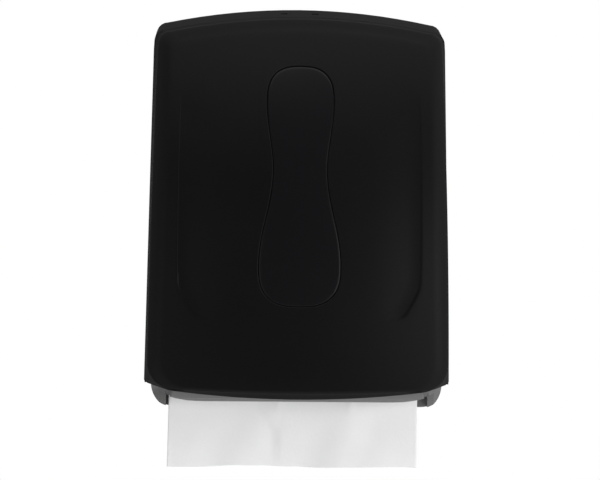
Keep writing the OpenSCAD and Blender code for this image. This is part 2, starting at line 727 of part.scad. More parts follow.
// Hanging sheet with soft upright folds that deepen downwards
n_across = 24;
n_down = 8;
sheet_top = ledge_z - seat_gap;
sheet_low = z_bot - hang_len;
function fold(u, v) = fold_depth * v * (0.6 * sin(360 * 1.3 * u + 40) + 0.4 * sin(360 * 2.9 * u + 110 * v));
function sheet_point(i, k, side) =
    let (u = i / n_across, v = k / n_down)
    [towel_w * (u - 0.5) - towel_shift, -(slot0 + towel_set + fold(u, v) + side * towel_t / 2),
     mix(sheet_top, sheet_low, v)];
module hanging_towel() {
    loops = [for (k = [0 : n_down]) concat([for (i = [0 : n_across]) sheet_point(i, k, 1)],
                                          [for (i = [n_across : -1 : 0]) sheet_point(i, k, -1)])];
    n = 2 * (n_across + 1);
    caps = [for (i = [0 : n_across - 1]) each
        [[i, i + 1, n - 2 - i], [i, n - 2 - i, n - 1 - i]]];
    last = n_down * n;
    end_caps = [for (f = caps) [last + f[2], last + f[1], last + f[0]]];
    sides = [for (k = [0 : n_down - 1]) each quads(k * n, (k + 1) * n, n)];
    color([0.9, 0.9, 0.9]) polyhedron(points = join(loops), faces = concat(flip(sides), caps, end_caps));
}

back_housing();
lock_plate();
lock_plate_screws();
latch_bar();
latch_clips();
latch_spring_left();
latch_spring_right();
left_towel_guide();
right_towel_guide();
guide_screws();
dispensing_tray();
tray_screws();
hinge_pin_left();
hinge_pin_right();
hinge_clip_left();
hinge_clip_right();
front_cover();
level_window();
window_clips();
cover_catch();
catch_screws();
towel_stack();
hanging_towel();
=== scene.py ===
"""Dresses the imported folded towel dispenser: bowed black cover, smoked window, grey tray and paper towels."""

import math

import bmesh
import bpy
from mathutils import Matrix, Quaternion, Vector


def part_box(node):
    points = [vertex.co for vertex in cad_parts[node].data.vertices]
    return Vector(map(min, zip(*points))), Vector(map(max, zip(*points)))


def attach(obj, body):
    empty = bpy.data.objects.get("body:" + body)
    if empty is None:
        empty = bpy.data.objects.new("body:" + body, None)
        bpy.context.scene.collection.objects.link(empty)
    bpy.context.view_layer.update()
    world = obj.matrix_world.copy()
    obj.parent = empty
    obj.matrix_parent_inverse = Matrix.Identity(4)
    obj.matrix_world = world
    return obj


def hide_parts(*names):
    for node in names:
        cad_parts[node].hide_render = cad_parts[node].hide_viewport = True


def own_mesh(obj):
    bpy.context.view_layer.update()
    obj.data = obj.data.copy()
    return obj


bl_info = {
    "name": "Folded towel dispenser",
    "version": (1, 0, 0),
    "blender": (4, 5, 0),
    "location": "3D View > Sidebar > Dispenser",
    "description": "Models and finishes the pieces of a wall dispenser for folded towels",
    "category": "Object",
}

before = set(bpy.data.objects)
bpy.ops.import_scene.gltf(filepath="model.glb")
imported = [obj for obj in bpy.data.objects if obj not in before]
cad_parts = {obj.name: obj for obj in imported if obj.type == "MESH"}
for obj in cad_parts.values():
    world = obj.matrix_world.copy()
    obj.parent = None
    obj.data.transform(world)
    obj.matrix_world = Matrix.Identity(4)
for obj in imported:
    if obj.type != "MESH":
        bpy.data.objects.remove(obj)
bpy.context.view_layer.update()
FORWARD = Vector((0.0, -1.0, 0.0))
TINY = 1e-6
EDGE = 0.0003  # small rounding of a moulded edge
HEAD_RADIUS = 0.0032  # of a screw
LAYER = 0.0006  # one ply in the stack's edge
DUST = (0.36, 0.35, 0.33)
FLAT, CREASED = math.radians(0.6), math.radians(40.0)  # angles between faces


def length(name, description, default):
    """A size in metres that shows in the scene's units."""
    return bpy.props.FloatProperty(
        name=name, description=description, default=default, unit="LENGTH", precision=4
    )


def colour(name, description, default):
    """A linear colour with a swatch."""
    return bpy.props.FloatVectorProperty(
        name=name, description=description, default=default, subtype="COLOR", size=3, min=0.0, max=1.0
    )


class BodySizes(bpy.types.PropertyGroup):
    """Sizes that the housing and the cover share."""

    height: length("Height", "From the tray's lower edge to the crest of the top rim", 0.373)
    width: length("Width", "Across the lower rim", 0.284)
    side_taper: length("Side taper", "How much narrower each side is at the top", 0.007)
    housing_depth: length("Housing depth", "Depth of the rear housing", 0.038)
    arch_radius: length("Arch radius", "Radius of the arched top", 0.590)
    corner_radius: length("Corner radius", "Radius of the top corners", 0.011)
    rim_slope: length("Rim slope", "Fall of the top rim from the wall to the seam", 0.011)
    rim_rise: length("Rim rise", "Lower side rim above the tray's lower edge", 0.0215)
    seam_gap: length("Seam gap", "Gap between cover and housing", 0.0008)


class CoverSizes(bpy.types.PropertyGroup):
    """Sizes of the bowed front cover."""

    depth: length("Depth", "Greatest depth from the wall", 0.128)
    wall: length("Wall", "Thickness of the shell", 0.0025)
    draft: length("Draft", "Lean of each side wall from seam to front", 0.0055)
    edge_radius: length("Edge radius", "Rounding along the sides and top", 0.014)
    lower_edge_radius: length("Lower edge radius", "Rounding along the lower edge", 0.003)
    lower_corner_radius: length("Lower corner radius", "Radius of the front's lower corners", 0.026)
    bow_rise: length("Bow rise", "Deepest point above the tray's lower edge", 0.125)
    bow_upright: length("Upright bow", "Radius of the bow from top to bottom", 0.600)
    bow_across: length("Cross bow", "Radius of the bow from side to side", 0.900)
    low_drop: length("Lower arc", "Drop of the arched lower edge at its middle", 0.0106)
    lip_rise: length("Lip rise", "Rise of the front's lower edge above the rim, at its middle", 0.006)
    lip_back: length("Lip set back", "Depth of the lower lip behind the rounding", 0.011)
    panel_step: length("Panel step", "Depth of the faint step down that frames the middle", 0.0006)


class WindowSizes(bpy.types.PropertyGroup):
    """Sizes of the bone-shaped level window."""

    top: length("Top", "Top of the window below the crest", 0.062)
    height: length("Height", "Height of the window", 0.216)
    lobe_up: length("Upper lobe", "Half width of the upper lobe", 0.0303)
    waist: length("Waist", "Half width of the waist", 0.0243)
    lobe_low: length("Lower lobe", "Half width of the lower lobe", 0.0368)
    gap: length("Gap", "Gap round the window", 0.00035)
    flange: length("Flange", "Width of the flange behind the opening", 0.009)
    flange_thickness: length("Flange thickness", "Thickness of the flange", 0.0016)


class TowelSizes(bpy.types.PropertyGroup):
    """Sizes of the paper towels."""

    fold_depth: length("Folds", "Depth of the soft upright folds", 0.0024)
    sheet: length("Sheet", "Thickness of the paper", 0.0004)


class FinishColours(bpy.types.PropertyGroup):
    """Colours of the plastics, metals and paper."""

    cover: colour("Cover", "Satin black plastic of the cover", (0.0020, 0.0020, 0.0024))
    # The rim colour is lighter than the cover's: painted light that stands in for the light the cover's sides
    # and lip catch.
    rim: colour("Cover's rim", "Rougher black plastic of the cover's sides and lip", (0.0085, 0.0085, 0.0088))
    window: colour("Window", "Smoked plastic of the window", (0.0032, 0.0032, 0.0038))
    housing: colour("Housing", "Textured black plastic of the housing", (0.0105, 0.0105, 0.0109))
    tray: colour("Tray", "Grey plastic of the tray", (0.118, 0.117, 0.116))
    inner: colour("Inner parts", "Dark plastic of guides and latch", (0.020, 0.020, 0.022))
    steel: colour("Steel", "Zinc plated steel", (0.56, 0.57, 0.58))
    paper: colour("Paper", "White paper towel", (0.79, 0.79, 0.80))


class DispenserSettings(bpy.types.PropertyGroup):
    """Everything that a user of the dispenser would change."""

    body: bpy.props.PointerProperty(type=BodySizes, name="Body", description="Shared sizes")
    cover: bpy.props.PointerProperty(type=CoverSizes, name="Cover", description="Sizes of the cover")
    window: bpy.props.PointerProperty(type=WindowSizes, name="Window", description="Sizes of the window")
    towels: bpy.props.PointerProperty(type=TowelSizes, name="Towels", description="Sizes of the towels")
    finish: bpy.props.PointerProperty(type=FinishColours, name="Finish", description="Colours")


def settings():
    """The dispenser's settings in the open scene."""
    return bpy.context.scene.towel_dispenser


def mix(a, b, t):
    """Value a share t of the way from a to b."""
    return a + (b - a) * t


def soft(t):
    """Smooth step from 0 to 1."""
    t = max(0.0, min(1.0, t))
    return t * t * (3.0 - 2.0 * t)


def part_way(a, b, t):
    """Place (x, z) a share t of the way from a to b."""
    return mix(a[0], b[0], t), mix(a[1], b[1], t)


def lines_between(a, b, t):
    """Line of places a share t of the way from line a to line b."""
    return [part_way(p, q, t) for p, q in zip(a, b)]


def rings_between(a, b, t):
    """Ring of vectors a share t of the way from ring a to ring b."""
    return [p.lerp(q, t) for p, q in zip(a, b)]


def lengths_along(points):
    """Length of an open line of (x, z) points up to each of them."""
    runs = [0.0]
    for a, b in zip(points, points[1:]):
        runs.append(runs[-1] + math.hypot(b[0] - a[0], b[1] - a[1]))
    return runs


def length_shares(points):
    """Share of the line's length at each of its points."""
    runs = lengths_along(points)
    return [run / runs[-1] for run in runs]


def even_places(points, shares):
    """Places along an open line of (x, z) points, at shares of its length."""
    runs = lengths_along(points)
    places, i = [], 0
    for share in shares:
        want = share * runs[-1]
        while i < len(runs) - 2 and runs[i + 1] < want:
            i += 1
        t = (want - runs[i]) / max(1e-9, runs[i + 1] - runs[i])
        places.append(part_way(points[i], points[i + 1], t))
    return places


def box_middle(node):
    """Middle of a CAD node's box."""
    low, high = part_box(node)
    return (Vector(low) + Vector(high)) / 2


def both_halves(half):
    """Closed loop from its right half, whose first and last points lie on the middle line."""
    return list(half) + [(-p[0],) + tuple(p[1:]) for p in half[-2:0:-1]]


class DispenserForm:
    """Levels and outlines that several pieces share, in metres. Depth runs forward from the wall."""

    # Steps along the stretches of an outline, then sizes of its corners and of the window's ends
    LOW, TURN, SIDE, ARCH, WINDOW = 26, 12, 46, 26, 24
    RIM_CORNER, TURN_CORNER = 0.003, 0.9
    CAP_UP, CAP_LOW, CAP_POWER, WAIST_SHARE = 0.033, 0.036, 2 / 2.7, 0.585
    STUD_SHARE = 0.55

    def __init__(self, chosen):
        body, cover, window = chosen.body, chosen.cover, chosen.window
        self.body, self.cover, self.window = body, cover, window
        self.top = body.height / 2
        self.bottom = -body.height / 2
        self.seam_z = self.top - body.rim_slope
        self.rim_z = self.bottom + body.rim_rise
        self.bow_z = self.bottom + cover.bow_rise
        self.seam_d = body.housing_depth + body.seam_gap
        self.window_top = self.top - window.top
        self.window_low = self.window_top - window.height
        self.window_mid = (self.window_top + self.window_low) / 2
        self.up_z, self.low_z = self.window_top - self.CAP_UP, self.window_low + self.CAP_LOW
        self.waist_z = mix(self.low_z, self.up_z, self.WAIST_SHARE)

    def half_width(self, z, inset=0.0):
        """Half the body's width at height z."""
        run = self.seam_z - self.rim_z
        return self.body.width / 2 - self.body.side_taper * (z - self.rim_z) / run - inset

    def arch(self, x, top):
        """Height of an arched top edge at x."""
        return top - x * x / (2 * self.body.arch_radius)

    def face(self, x, z):
        """Depth of the bowed front at a place in the front view."""
        c = self.cover
        return c.depth - (z - self.bow_z) ** 2 / (2 * c.bow_upright) - x * x / (2 * c.bow_across)

    def low(self, x, rise):
        """Height of the cover's arched lower edge at x, with its middle raised."""
        drop = self.cover.low_drop - rise
        return self.rim_z - drop * (1 - min(1.0, abs(x) / (self.body.width / 2)) ** 2)

    def half_outline(self, side_in, low_in, low_r, top_r, rise):
        """Right half of a front outline from low to top middle, as (x, z, share of lower edge)."""
        zc = self.low(self.half_width(self.rim_z, side_in) - low_r, rise) + low_in + low_r
        xc = self.half_width(zc, side_in) - low_r
        xt = self.half_width(self.seam_z - top_r, side_in) - top_r
        zt = self.arch(xt, self.seam_z - side_in) - top_r
        points = []
        for i in range(self.LOW):
            x = xc * i / self.LOW
            points.append((x, self.low(x, rise) + low_in, 1.0))
        for i in range(self.TURN + 1):
            a = math.radians(-90 + 90 * i / self.TURN)
            points.append((xc + low_r * math.cos(a), zc + low_r * math.sin(a), 1 - i / self.TURN))
        for i in range(1, self.SIDE):
            z = mix(zc, zt, i / self.SIDE)
            points.append((self.half_width(z, side_in), z, 0.0))
        for i in range(self.TURN + 1):
            a = math.radians(90 * i / self.TURN)
            points.append((xt + top_r * math.cos(a), zt + top_r * math.sin(a), 0.0))
        for i in range(1, self.ARCH + 1):
            x = xt * (1 - i / self.ARCH)
            points.append((x, self.arch(x, self.seam_z - side_in), 0.0))
        return points

    def rim_depth(self, p):
        """Depth of the cover's rear rim: the seam on the sides and top, the lip along the lower edge."""
        c = self.cover
        lip = self.face(p[0], p[1]) - c.lower_edge_radius - c.lip_back
        share = (self.half_width(self.rim_z) - abs(p[0])) / c.lower_corner_radius
        return mix(self.seam_d, lip, 0.0 if p[2] < 1 else max(0.0, min(1.0, share)))

    def rim_ring(self, o):
        """Rear rim of the cover's skin at offset o behind its outer face."""
        half = self.half_outline(o, o, self.RIM_CORNER, self.body.corner_radius, 0.0)
        return [Vector((p[0], -self.rim_depth(p), p[1])) for p in both_halves(half)]

    def turn_half(self, o, degrees):
        """Right half of a ring in the rounding between wall and face, as front view points."""
        c, a = self.cover, math.radians(degrees)
        side_in = c.draft + o + (c.edge_radius - o) * (1 - math.cos(a))
        low_in = o + (c.lower_edge_radius - o) * (1 - math.cos(a))
        low_r = mix(c.lower_corner_radius * self.TURN_CORNER, c.lower_corner_radius, degrees / 90)
        return self.half_outline(side_in, low_in, low_r, self.body.corner_radius, c.lip_rise)

    def turn_ring(self, o, degrees):
        """Ring of the rounding between wall (0 degrees) and face (90 degrees)."""
        c, a, ring = self.cover, math.radians(degrees), []
        for x, z, b in both_halves(self.turn_half(o, degrees)):
            r = mix(c.edge_radius, c.lower_edge_radius, b)
            ring.append(Vector((x, -(self.face(x, z) - o - (r - o) * (1 - math.sin(a))), z)))
        return ring

    def window_half(self, grow):
        """Right half of the window's outline, from its low middle to its top middle, grown by a width."""
        w, n, power, points = self.window, self.WINDOW, self.CAP_POWER, []
        for i in range(n + 1):
            a = math.radians(90 * i / n)
            points.append(((w.lobe_low + grow) * math.sin(a) ** power,
                           self.low_z - (self.CAP_LOW + grow) * max(0.0, math.cos(a)) ** power))
        for half0, half1, z0, z1 in ((w.lobe_low, w.waist, self.low_z, self.waist_z),
                                     (w.waist, w.lobe_up, self.waist_z, self.up_z)):
            for t in [i / n for i in range(1, n + 1)]:
                points.append((mix(half0, half1, (1 - math.cos(math.pi * t)) / 2) + grow, mix(z0, z1, t)))
        for i in range(1, n + 1):
            a = math.radians(90 * i / n)
            points.append(((w.lobe_up + grow) * max(0.0, math.cos(a)) ** power,
                           self.up_z + (self.CAP_UP + grow) * math.sin(a) ** power))
        return points

    def studs(self):
        """Places of the studs round the window as (x, z)."""
        w, out = self.window, self.window.flange * self.STUD_SHARE
        rows = ((w.lobe_up, self.up_z), (w.waist, self.waist_z), (w.lobe_low, self.low_z))
        return [(side * (half + out), z) for side in (-1, 1) for half, z in rows]


def ring_edges(bm, ring):
    """Edges round a closed ring of vertices."""
    edges = [bm.edges.get((a, b)) for a, b in zip(ring, ring[1:] + ring[:1])]
    if None in edges:
        raise RuntimeError("a ring of the skin isn't joined up")
    return edges


def loft_rings(bm, rings, close=False, cap=False):
    """Extrudes a circle of vertices through each ring of places, then bridges its ends or fills them."""
    first = bmesh.ops.create_circle(bm, cap_ends=False, segments=len(rings[0]), radius=1.0)["verts"]
    for vert, place in zip(first, rings[0]):
        vert.co = place
    last = first
    for places in rings[1:]:
        made = bmesh.ops.extrude_edge_only(bm, edges=ring_edges(bm, last))["geom"]
        fresh = {item for item in made if isinstance(item, bmesh.types.BMVert)}
        ahead = [next(e.other_vert(v) for e in v.link_edges if e.other_vert(v) in fresh) for v in last]
        for vert, place in zip(ahead, places):
            vert.co = place
        last = ahead
    if close:
        bmesh.ops.bridge_loops(bm, edges=ring_edges(bm, last) + ring_edges(bm, first))
    if cap:
        bmesh.ops.edgeloop_fill(bm, edges=ring_edges(bm, first))
        bmesh.ops.edgeloop_fill(bm, edges=ring_edges(bm, last))


def polar(count, centre, u, v, radius):
    """Ring of places round a centre, in the plane of u and v. Radius is a number or a function of the angle."""
    places = []
    for i in range(count):
        a = 2 * math.pi * i / count
        r = radius(a) if callable(radius) else radius
        places.append(centre + r * (math.cos(a) * u + math.sin(a) * v))
    return places


def across(axis):
    """Unit axis and two directions square to it."""
    axis = axis.normalized()
    u = axis.orthogonal().normalized()
    return axis, u, axis.cross(u)


def turned(bm, start, axis, profile, count, hollow=False):
    """Turned solid with a profile of (distance along the axis, radius), which goes all round if hollow."""
    axis, u, v = across(axis)
    rings = [polar(count, start + axis * along, u, v, radius) for along, radius in profile]
    loft_rings(bm, rings, close=hollow, cap=not hollow)


def new_object(name, bm, material):
    """Object in the scene made of a bmesh and a material."""
    mesh = bpy.data.meshes.new(name)
    bm.to_mesh(mesh)
    bm.free()
    mesh.materials.append(material)
    made = bpy.data.objects.new(name, mesh)
    bpy.context.scene.collection.objects.link(made)
    return made


def make_piece(name, bm, material, body, replaced, sharp=32.0, outward=True):
    """Turns a bmesh into a finished piece that rides on a body and stands for its CAD nodes."""
    if outward:
        bmesh.ops.recalc_face_normals(bm, faces=bm.faces)
    for face in bm.faces:
        face.smooth = True
    for edge in bm.edges:
        edge.smooth = len(edge.link_faces) != 2 or edge.calc_face_angle(0.0) < math.radians(sharp)
    piece = new_object(name, bm, material)
    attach(piece, body)
    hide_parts(*replaced)
    return piece


def cad_mesh(node):
    """Merged copy of a CAD node's mesh, with its flat faces joined up."""
    bm = bmesh.new()
    bm.from_mesh(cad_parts[node].data)
    bmesh.ops.remove_doubles(bm, verts=bm.verts, dist=TINY)
    bmesh.ops.dissolve_limit(bm, angle_limit=FLAT, verts=bm.verts, edges=bm.edges)
    return bm


def cad_piece(node, suffix, material, body, edge):
    """Piece made of a CAD node's own mesh, with its edges rounded by a live bevel."""
    piece = make_piece(node + suffix, cad_mesh(node), material, body, [node], outward=False)
    bevel = piece.modifiers.new("soft_edges", "BEVEL")
    bevel.width = edge
    bevel.segments = 3
    bevel.limit_method = "ANGLE"
    bevel.angle_limit = CREASED
    bevel.harden_normals = True
    bevel.material = -1


def feed(tree, value, socket):
    """Links a socket to an input, or sets the input to a value."""
    if isinstance(value, bpy.types.NodeSocket):
        tree.links.new(value, socket)
    else:
        socket.default_value = value


def wire(tree, node, **values):
    """Feeds a node's inputs, and sets its properties. A low line in an input's name stands for a space."""
    for name, value in values.items():
        label = name.replace("_", " ")
        if label in node.inputs.keys():
            feed(tree, value, node.inputs[label])
        else:
            setattr(node, name, value)


def put(tree, kind, **values):
    """Adds a node with its properties and inputs."""
    node = tree.nodes.new(kind)
    wire(tree, node, **values)
    return node


def compute(tree, operation, *values):
    """Result of a Math node on numbers or sockets."""
    node = put(tree, "ShaderNodeMath", operation=operation)
    for value, socket in zip(values, node.inputs):
        feed(tree, value, socket)
    return node.outputs[0]


def remap(tree, value, source=(0.0, 1.0), target=(0.0, 1.0), curve="LINEAR"):
    """Maps a value from one range to another and holds it there."""
    node = put(tree, "ShaderNodeMapRange", clamp=True, interpolation_type=curve, Value=value)
    wire(tree, node, From_Min=source[0], From_Max=source[1], To_Min=target[0], To_Max=target[1])
    return node.outputs["Result"]


def place_of(tree, kind="Object"):
    """A texture coordinate."""
    return put(tree, "ShaderNodeTexCoord").outputs[kind]


def part_of(tree, vector, axis):
    """One part of a vector."""
    return put(tree, "ShaderNodeSeparateXYZ", Vector=vector).outputs[axis]


def stretched(tree, scale, turn=(0.0, 0.0, 0.0)):
    """Object coordinates with a scale of their own along each axis, for streaks."""
    place = place_of(tree)
    return put(tree, "ShaderNodeMapping", Vector=place, Scale=scale, Rotation=turn).outputs["Vector"]


def noise(tree, place, scale, detail, roughness=0.5):
    """Noise from 0 to 1."""
    return put(tree, "ShaderNodeTexNoise", Vector=place, Scale=scale, Detail=detail,
               Roughness=roughness).outputs["Fac"]


def cells(tree, place, scale, feature):
    """Distance to the middle of the nearest cell."""
    return put(tree, "ShaderNodeTexVoronoi", feature=feature, Vector=place, Scale=scale).outputs["Distance"]


def bump(tree, height, strength, distance):
    """Normal of a surface with small heights."""
    return put(tree, "ShaderNodeBump", Strength=strength, Distance=distance, Height=height).outputs["Normal"]


def blend_colours(tree, mask, first, second):
    """Colour that goes from first to second by a mask. Each is a colour or a socket."""
    node = put(tree, "ShaderNodeMix", data_type="RGBA", Factor=mask)
    for label, value in (("A", first), ("B", second)):
        socket = [s for s in node.inputs if s.name == label and s.type == "RGBA"][0]
        feed(tree, value if isinstance(value, bpy.types.NodeSocket) else (*value, 1.0), socket)
    return [s for s in node.outputs if s.type == "RGBA"][0]


def shade(colour_value, share):
    """A colour made darker or lighter."""
    return [c * share for c in colour_value]


def use_group(tree, name, fill, results, **values):
    """Outputs of a shared node group with its own values. The group is filled when it is first used."""
    if name not in bpy.data.node_groups:
        group = bpy.data.node_groups.new(name, "ShaderNodeTree")
        for label in values:
            group.interface.new_socket(label, in_out="INPUT", socket_type="NodeSocketFloat")
        for label in results:
            group.interface.new_socket(label, in_out="OUTPUT", socket_type="NodeSocketFloat")
        given, result = group.nodes.new("NodeGroupInput"), group.nodes.new("NodeGroupOutput")
        for label, value in zip(results, fill(group, given.outputs)):
            feed(group, value, result.inputs[label])
    node = put(tree, "ShaderNodeGroup", node_tree=bpy.data.node_groups[name])
    wire(tree, node, **values)
    return node.outputs


def moulded_grain(tree, grain, drift):
    """Fine spark-eroded grain of moulded plastic: a height for bump and a slow drift for colour and gloss."""

    def fill(group, given):
        place = place_of(group)
        fine = noise(group, place, given["Grain"], 3.0, 0.6)
        pits = cells(group, place, given["Grain"], "SMOOTH_F1")
        yield compute(group, "MULTIPLY_ADD", pits, 0.45, fine)
        yield noise(group, place, given["Drift"], 4.0, 0.55)

    return use_group(tree, "Moulded grain", fill, ("Height", "Slow"), Grain=grain, Drift=drift)


def edge_wear(tree, radius, amount):
    """Mask of the edges that hands and cloths polish, broken up by noise."""

    def fill(group, given):
        rounded = put(group, "ShaderNodeBevel", samples=4, Radius=given["Radius"])
        alike = put(group, "ShaderNodeVectorMath", operation="DOT_PRODUCT")
        feed(group, rounded.outputs["Normal"], alike.inputs[0])
        feed(group, put(group, "ShaderNodeNewGeometry").outputs["Normal"], alike.inputs[1])
        turned = remap(group, alike.outputs["Value"], (0.995, 0.90))
        broken = remap(group, noise(group, place_of(group), 60.0, 5.0, 0.65), (0.38, 0.66))
        yield compute(group, "MULTIPLY", compute(group, "MULTIPLY", turned, broken), given["Amount"])

    return use_group(tree, "Edge wear", fill, ("Mask",), Radius=radius, Amount=amount)["Mask"]


def settled_dust(tree, amount):
    """Mask of the thin dust that settles on faces that look up."""

    def fill(group, given):
        facing = put(group, "ShaderNodeNewGeometry").outputs["Normal"]
        upward = remap(group, part_of(group, facing, "Z"), (0.55, 1.0))
        specks = noise(group, place_of(group), 220.0, 6.0, 0.7)
        yield compute(group, "MULTIPLY", compute(group, "MULTIPLY", upward, specks), given["Amount"])

    return use_group(tree, "Settled dust", fill, ("Mask",), Amount=amount)["Mask"]


def new_material(name):
    """Empty material as (material, tree, Principled BSDF)."""
    material = bpy.data.materials.new(name)
    material.use_nodes = True
    tree = material.node_tree
    return material, tree, tree.nodes["Principled BSDF"]


def moulded_plastic(name, base, roughness, grain, strength, wear, dust, specular=0.5, rim=None):
    """Moulded plastic with fine grain, a slow drift in gloss, polished edges and a little dust.

    A rim colour, if given, goes on the faces that turn away from the front, which are also rougher. Its lighter
    tone is painted light that stands in for the light those faces catch, and painted shade darkens it towards
    the seam.
    """
    if name in bpy.data.materials:
        return bpy.data.materials[name]
    material, tree, shader = new_material(name)
    texture = moulded_grain(tree, grain, 11.0)
    tint = blend_colours(tree, texture["Slow"], shade(base, 0.86), shade(base, 1.14))
    tint = blend_colours(tree, edge_wear(tree, 0.0012, wear), tint, [c * 2.2 + 0.01 for c in base])
    tint = blend_colours(tree, settled_dust(tree, dust), tint, DUST)
    gloss = remap(tree, texture["Slow"], target=(roughness - 0.05, roughness + 0.05))
    if rim:
        # Faces that turn from the front get more roughness and the rim colour, whose lighter tone is painted
        # light.
        away = remap(tree, part_of(tree, place_of(tree, "Normal"), "Y"), (-0.99, -0.60))
        # Painted shade: the rim colour darkens towards the seam with the housing.
        painted_seam_shade = remap(tree, part_of(tree, place_of(tree), "Y"), (-0.060, -0.042))
        tint = blend_colours(tree, away, tint, blend_colours(tree, painted_seam_shade, rim, shade(rim, 0.15)))
        gloss = remap(tree, away, target=(gloss, 1.0))
    wire(tree, shader, Base_Color=tint, Roughness=gloss, Specular_IOR_Level=specular,
         Normal=bump(tree, texture["Height"], strength, 0.0002))
    return material


def cover_plastic():
    """Satin black plastic of the front cover."""
    finish = settings().finish
    # The rim colour is painted light on the sides and lip, with painted shade towards the seam.
    return moulded_plastic("Satin black cover plastic", finish.cover, 0.40, 1500.0, 0.10, 0.10, 0.005,
                           specular=0.09, rim=finish.rim)


def housing_plastic():
    """Coarser black plastic of the rear housing."""
    return moulded_plastic("Textured black housing plastic", settings().finish.housing, 0.80, 900.0, 0.18, 0.10,
                           0.002, specular=0.05)


def tray_plastic():
    """Grey plastic of the dispensing tray."""
    return moulded_plastic("Grey tray plastic", settings().finish.tray, 0.46, 1200.0, 0.12, 0.15, 0.02)


def inner_plastic():
    """Dark plastic of the towel guides and the latch."""
    return moulded_plastic("Dark guide plastic", settings().finish.inner, 0.48, 1200.0, 0.15, 0.3, 0.03)


def smoked_window_plastic():
    """Smooth smoked plastic of the level window, opaque, with faint wiping marks."""
    name = "Smoked window plastic"
    if name in bpy.data.materials:
        return bpy.data.materials[name]
    material, tree, shader = new_material(name)
    base = settings().finish.window
    texture = moulded_grain(tree, 2600.0, 9.0)
    tint = blend_colours(tree, texture["Slow"], shade(base, 0.8), shade(base, 1.2))
    tint = blend_colours(tree, edge_wear(tree, 0.0006, 0.2), tint, (0.05, 0.05, 0.055))
    wiped = noise(tree, stretched(tree, (40.0, 40.0, 900.0), (0.0, 0.5, 0.0)), 1.0, 3.0)
    wire(tree, shader, Base_Color=tint, Roughness=remap(tree, wiped, target=(0.27, 0.35)),
         Coat_Weight=remap(tree, texture["Slow"], target=(0.02, 0.08)), Coat_Roughness=0.12,
         Specular_IOR_Level=0.09, Normal=bump(tree, texture["Height"], 0.03, 0.0002))
    return material


def plated_steel(name, roughness, streak):
    """Zinc plated steel with rolled or drawn streaks and a cloudy passivated tint."""
    if name in bpy.data.materials:
        return bpy.data.materials[name]
    material, tree, shader = new_material(name)
    base = settings().finish.steel
    bluish = (base[0] * 1.04, base[1] * 1.05, base[2] * 1.1)
    cloudy = blend_colours(tree, moulded_grain(tree, 1400.0, 70.0)["Slow"], shade(base, 0.78), bluish)
    worn = blend_colours(tree, edge_wear(tree, 0.0005, 0.4), cloudy, (0.78, 0.78, 0.78))
    drawn = noise(tree, stretched(tree, streak), 1.0, 2.0)
    gloss = remap(tree, drawn, target=(roughness - 0.08, roughness + 0.10))
    wire(tree, shader, Base_Color=worn, Metallic=1.0, Roughness=gloss, Normal=bump(tree, drawn, 0.06, 0.0001))
    return material


def plate_steel():
    """Rolled sheet of the lock plate and the catch."""
    return plated_steel("Zinc plated sheet steel", 0.34, (1600.0, 60.0, 60.0))


def fastener_steel():
    """Bright plating of the screws, the pins and the latch's clips."""
    return plated_steel("Bright fastener steel", 0.28, (700.0, 700.0, 700.0))


def spring_steel():
    """Drawn steel of the springs, the hinge clips and the push nuts."""
    return plated_steel("Spring wire steel", 0.30, (900.0, 900.0, 300.0))


def paper_towel(name, layered):
    """White embossed paper: fibres, pressed dimples and, on a stack, painted shade in the gaps between its
    layers.
    """
    if name in bpy.data.materials:
        return bpy.data.materials[name]
    material, tree, shader = new_material(name)
    base, place = settings().finish.paper, place_of(tree)
    fibres = noise(tree, place, 420.0, 6.0, 0.7)
    pressed = cells(tree, place, 420.0, "F1")
    bright = [min(1.0, c * 1.04) for c in base]
    tint = blend_colours(tree, noise(tree, place, 24.0, 3.0), shade(base, 0.95), bright)
    tint = blend_colours(tree, remap(tree, fibres, target=(0.0, 0.22)), tint, (0.62, 0.61, 0.59))
    if layered:
        # Painted shade: dark lines in the gaps between the plies on the stack's edge.
        turns = compute(tree, "MULTIPLY", part_of(tree, place, "Z"), 2 * math.pi / LAYER)
        painted_ply_shade = remap(tree, compute(tree, "SINE", turns), (0.2, 1.0))
        tint = blend_colours(tree, painted_ply_shade, tint, (0.50, 0.49, 0.47))
    height = compute(tree, "MULTIPLY_ADD", pressed, 0.55, fibres)
    wire(tree, shader, Base_Color=tint, Roughness=0.92, Specular_IOR_Level=0.25, Sheen_Weight=0.12,
         Normal=bump(tree, height, 0.22, 0.0004))
    return material


